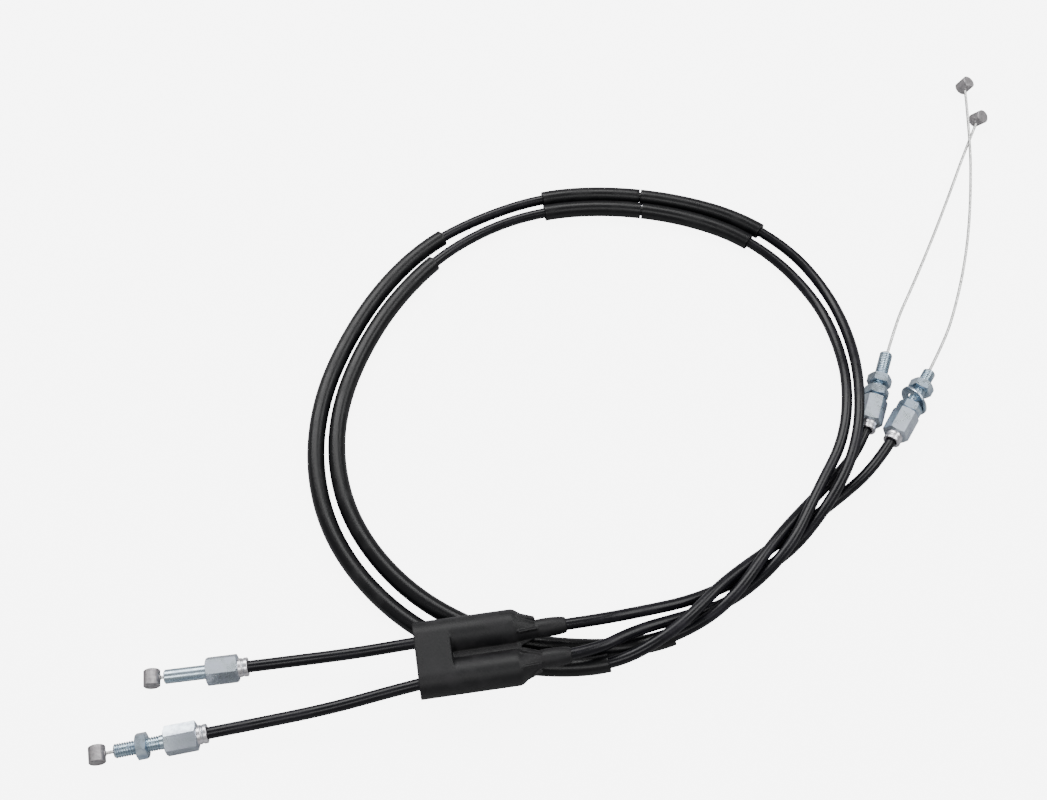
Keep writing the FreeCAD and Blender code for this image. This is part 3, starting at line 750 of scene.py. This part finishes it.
BARE_WIRES = {
    "return": [
        (0.1413, -0.0260, 0.0075), (0.1662, 0.0145, 0.0075), (0.1785, 0.0450, 0.0071),
        (0.1880, 0.0770, 0.0066), (0.1945, 0.1090, 0.0062), (0.1995, 0.1430, 0.0060),
        (0.2028, 0.1830, 0.0048),
    ],
    "pull": [
        (0.1290, -0.0184, 0.0065), (0.1445, 0.0265, 0.0065), (0.1575, 0.0520, 0.0056),
        (0.1705, 0.0790, 0.0046), (0.1845, 0.1100, 0.0036), (0.1970, 0.1390, 0.0034),
        (0.2070, 0.1600, 0.0049),
    ],
}
BARE_HIDDEN = 0.0100

wire_steel = plated_material("wire_galvanised", (0.80, 0.80, 0.79), (0.58, 0.58, 0.57),
                             0.28, 0.48, 700.0, 0.06)


def strand_mesh(name, points):
    """A core with round strands laid round it in a twist, along a line of points."""
    spaced = []
    total = sum((there - here).length for here, there in zip(points, points[1:]))
    steps = round(total / 0.0011)
    passed = 0.0
    marks = [total * index / steps for index in range(steps + 1)]
    for here, there in zip(points, points[1:]):
        step = (there - here).length
        while marks and marks[0] <= passed + step + 1e-9:
            spaced.append((marks[0], here.lerp(there, (marks[0] - passed) / step)))
            marks.pop(0)
        passed += step
    data = bpy.data.curves.new(name, "CURVE")
    data.dimensions = "3D"
    data.bevel_depth = STRAND
    data.bevel_resolution = 1
    data.use_fill_caps = True
    for strand in range(STRANDS):
        spline = data.splines.new("POLY")
        spline.points.add(len(spaced) - 1)
        for index, (along, place) in enumerate(spaced):
            before = spaced[max(index - 1, 0)][1]
            after = spaced[min(index + 1, len(spaced) - 1)][1]
            ahead = (after - before).normalized()
            side = ahead.cross(Vector((0, 0, 1))).normalized()
            over = side.cross(ahead)
            angle = 2 * math.pi * (along / LAY + strand / STRANDS)
            spoke = side * math.cos(angle) + over * math.sin(angle)
            spline.points[index].co = (*(place + spoke * (WIRE - STRAND)), 1)
    core = data.splines.new("POLY")
    core.points.add(len(spaced) - 1)
    for index, (_, place) in enumerate(spaced):
        core.points[index].co = (*place, 1)
        core.points[index].radius = (WIRE - STRAND) / STRAND
    wire = bpy.data.objects.new(name, data)
    bpy.context.scene.collection.objects.link(wire)
    select_only(wire)
    bpy.ops.object.convert(target="MESH")
    wire = bpy.context.object
    wire.data.materials.clear()
    wire.data.materials.append(wire_steel)
    bpy.ops.object.shade_smooth()
    return wire


bare_lines = {}
for cable, points in BARE_WIRES.items():
    guide = smooth_curve(cable + "_guide_line", points, resolution=24)
    bare_lines[cable] = line_points(guide)
    bpy.data.objects.remove(guide)


# ================================================================ barrel nipples
# A die-cast zinc barrel is soldered on each end of each wire and drops into a pocket in the
# twistgrip drum or the throttle pulley. Matt grey, with a mould seam and a bead of solder.

NIPPLE = 0.0035
NIPPLE_HALF = 0.0035
LEAN = {"return_grip": 90.0, "pull_grip": 90.0, "return_carb": 27.0, "pull_carb": 33.0}
REACH = {"return_grip": 0.0052, "pull_grip": 0.0070}

cast_zinc = plated_material("nipple_cast_zinc", (0.46, 0.44, 0.45), (0.28, 0.27, 0.28),
                            0.38, 0.60, 520.0, 0.45)


def nipple_place(along, centre, lean):
    """Matrix for a barrel about Z that its wire enters along +X."""
    along = along.normalized()
    side = along.cross(Vector((0, 0, 1))).normalized()
    over = side.cross(along)
    axis = over * math.cos(math.radians(lean)) + side * math.sin(math.radians(lean))
    axes = Matrix((along, axis.cross(along), axis)).transposed().to_4x4()
    return Matrix.Translation(centre) @ axes


def nipple(label, place, body):
    barrel = lathe(label + "_barrel", [
        (0.0001, -NIPPLE_HALF), (NIPPLE - 0.0003, -NIPPLE_HALF), (NIPPLE, -NIPPLE_HALF + 0.0003),
        (NIPPLE, NIPPLE_HALF - 0.0003), (NIPPLE - 0.0003, NIPPLE_HALF), (0.0001, NIPPLE_HALF),
    ], 56)
    hole = lathe("hole", [(0.00085, 0), (0.00085, NIPPLE + 0.002)], 24)
    hole.data.transform(Matrix.Rotation(math.radians(-90), 4, "Y"))
    combine(barrel, [hole], "DIFFERENCE")
    seam = bar("seam", (0.00012, 2 * NIPPLE + 0.00016, 2 * NIPPLE_HALF - 0.0006), (0, 0, 0))
    combine(barrel, [seam], "UNION")
    finish_metal(barrel, cast_zinc, place, body, [label], edge=0.00010)
    bead = lathe(label + "_solder", [
        (0.00070, 0), (0.00150, 0), (0.00135, 0.00028), (0.00095, 0.00052), (0.00078, 0.00060),
        (0.00070, 0.00060), (0.00070, 0),
    ], 28)
    bead.data.transform(Matrix.Rotation(math.radians(-90), 4, "Y"))
    bead.data.transform(Matrix.Translation((-NIPPLE + 0.00030, 0, 0)))
    select_only(bead)
    bead.data.transform(place)
    bead.data.materials.append(cast_zinc)
    bpy.ops.object.shade_smooth()
    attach(bead, body)
    return barrel


wire_cords = []
for cable in ("return", "pull"):
    # grip end: a straight wire that slides with its nipple
    fitting = cable + "_grip"
    tail, turn, length = FITTINGS[fitting]
    out = Vector((math.cos(math.radians(turn)), math.sin(math.radians(turn)), 0))
    face = Vector(tail) + out * TAIL
    centre = face + out * (length + REACH[fitting])
    grip_wire = strand_mesh(cable + "_grip_strand", [face - out * 0.021, face, centre - out * 0.001,
                                                     centre + out * 0.0012])
    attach(grip_wire, fitting + "_end")
    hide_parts(fitting + "_wire")
    nipple(fitting + "_nipple", nipple_place(out, centre, LEAN[fitting]), fitting + "_end")

    # carburettor end: the bare wire runs along its line out to its nipple
    fitting = cable + "_carb"
    tail, turn, length = FITTINGS[fitting]
    out = Vector((math.cos(math.radians(turn)), math.sin(math.radians(turn)), 0))
    tip = Vector(tail) + out * (TAIL + length)
    line = part_of_line(bare_lines[cable], BARE_HIDDEN, 1.0)
    last = (line[-1] - line[-2]).normalized()
    centre = line[-1] - last * 0.0015
    wire = strand_mesh(cable + "_bare_strand", line[:-1] + [line[-1] - last * 0.0003])
    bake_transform(wire)
    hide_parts(cable + "_inner_wire")
    barrel = nipple(fitting + "_nipple", nipple_place(last, centre, LEAN[fitting]),
                    fitting + "_end")


# ================================================================ finish

bpy.context.view_layer.update()
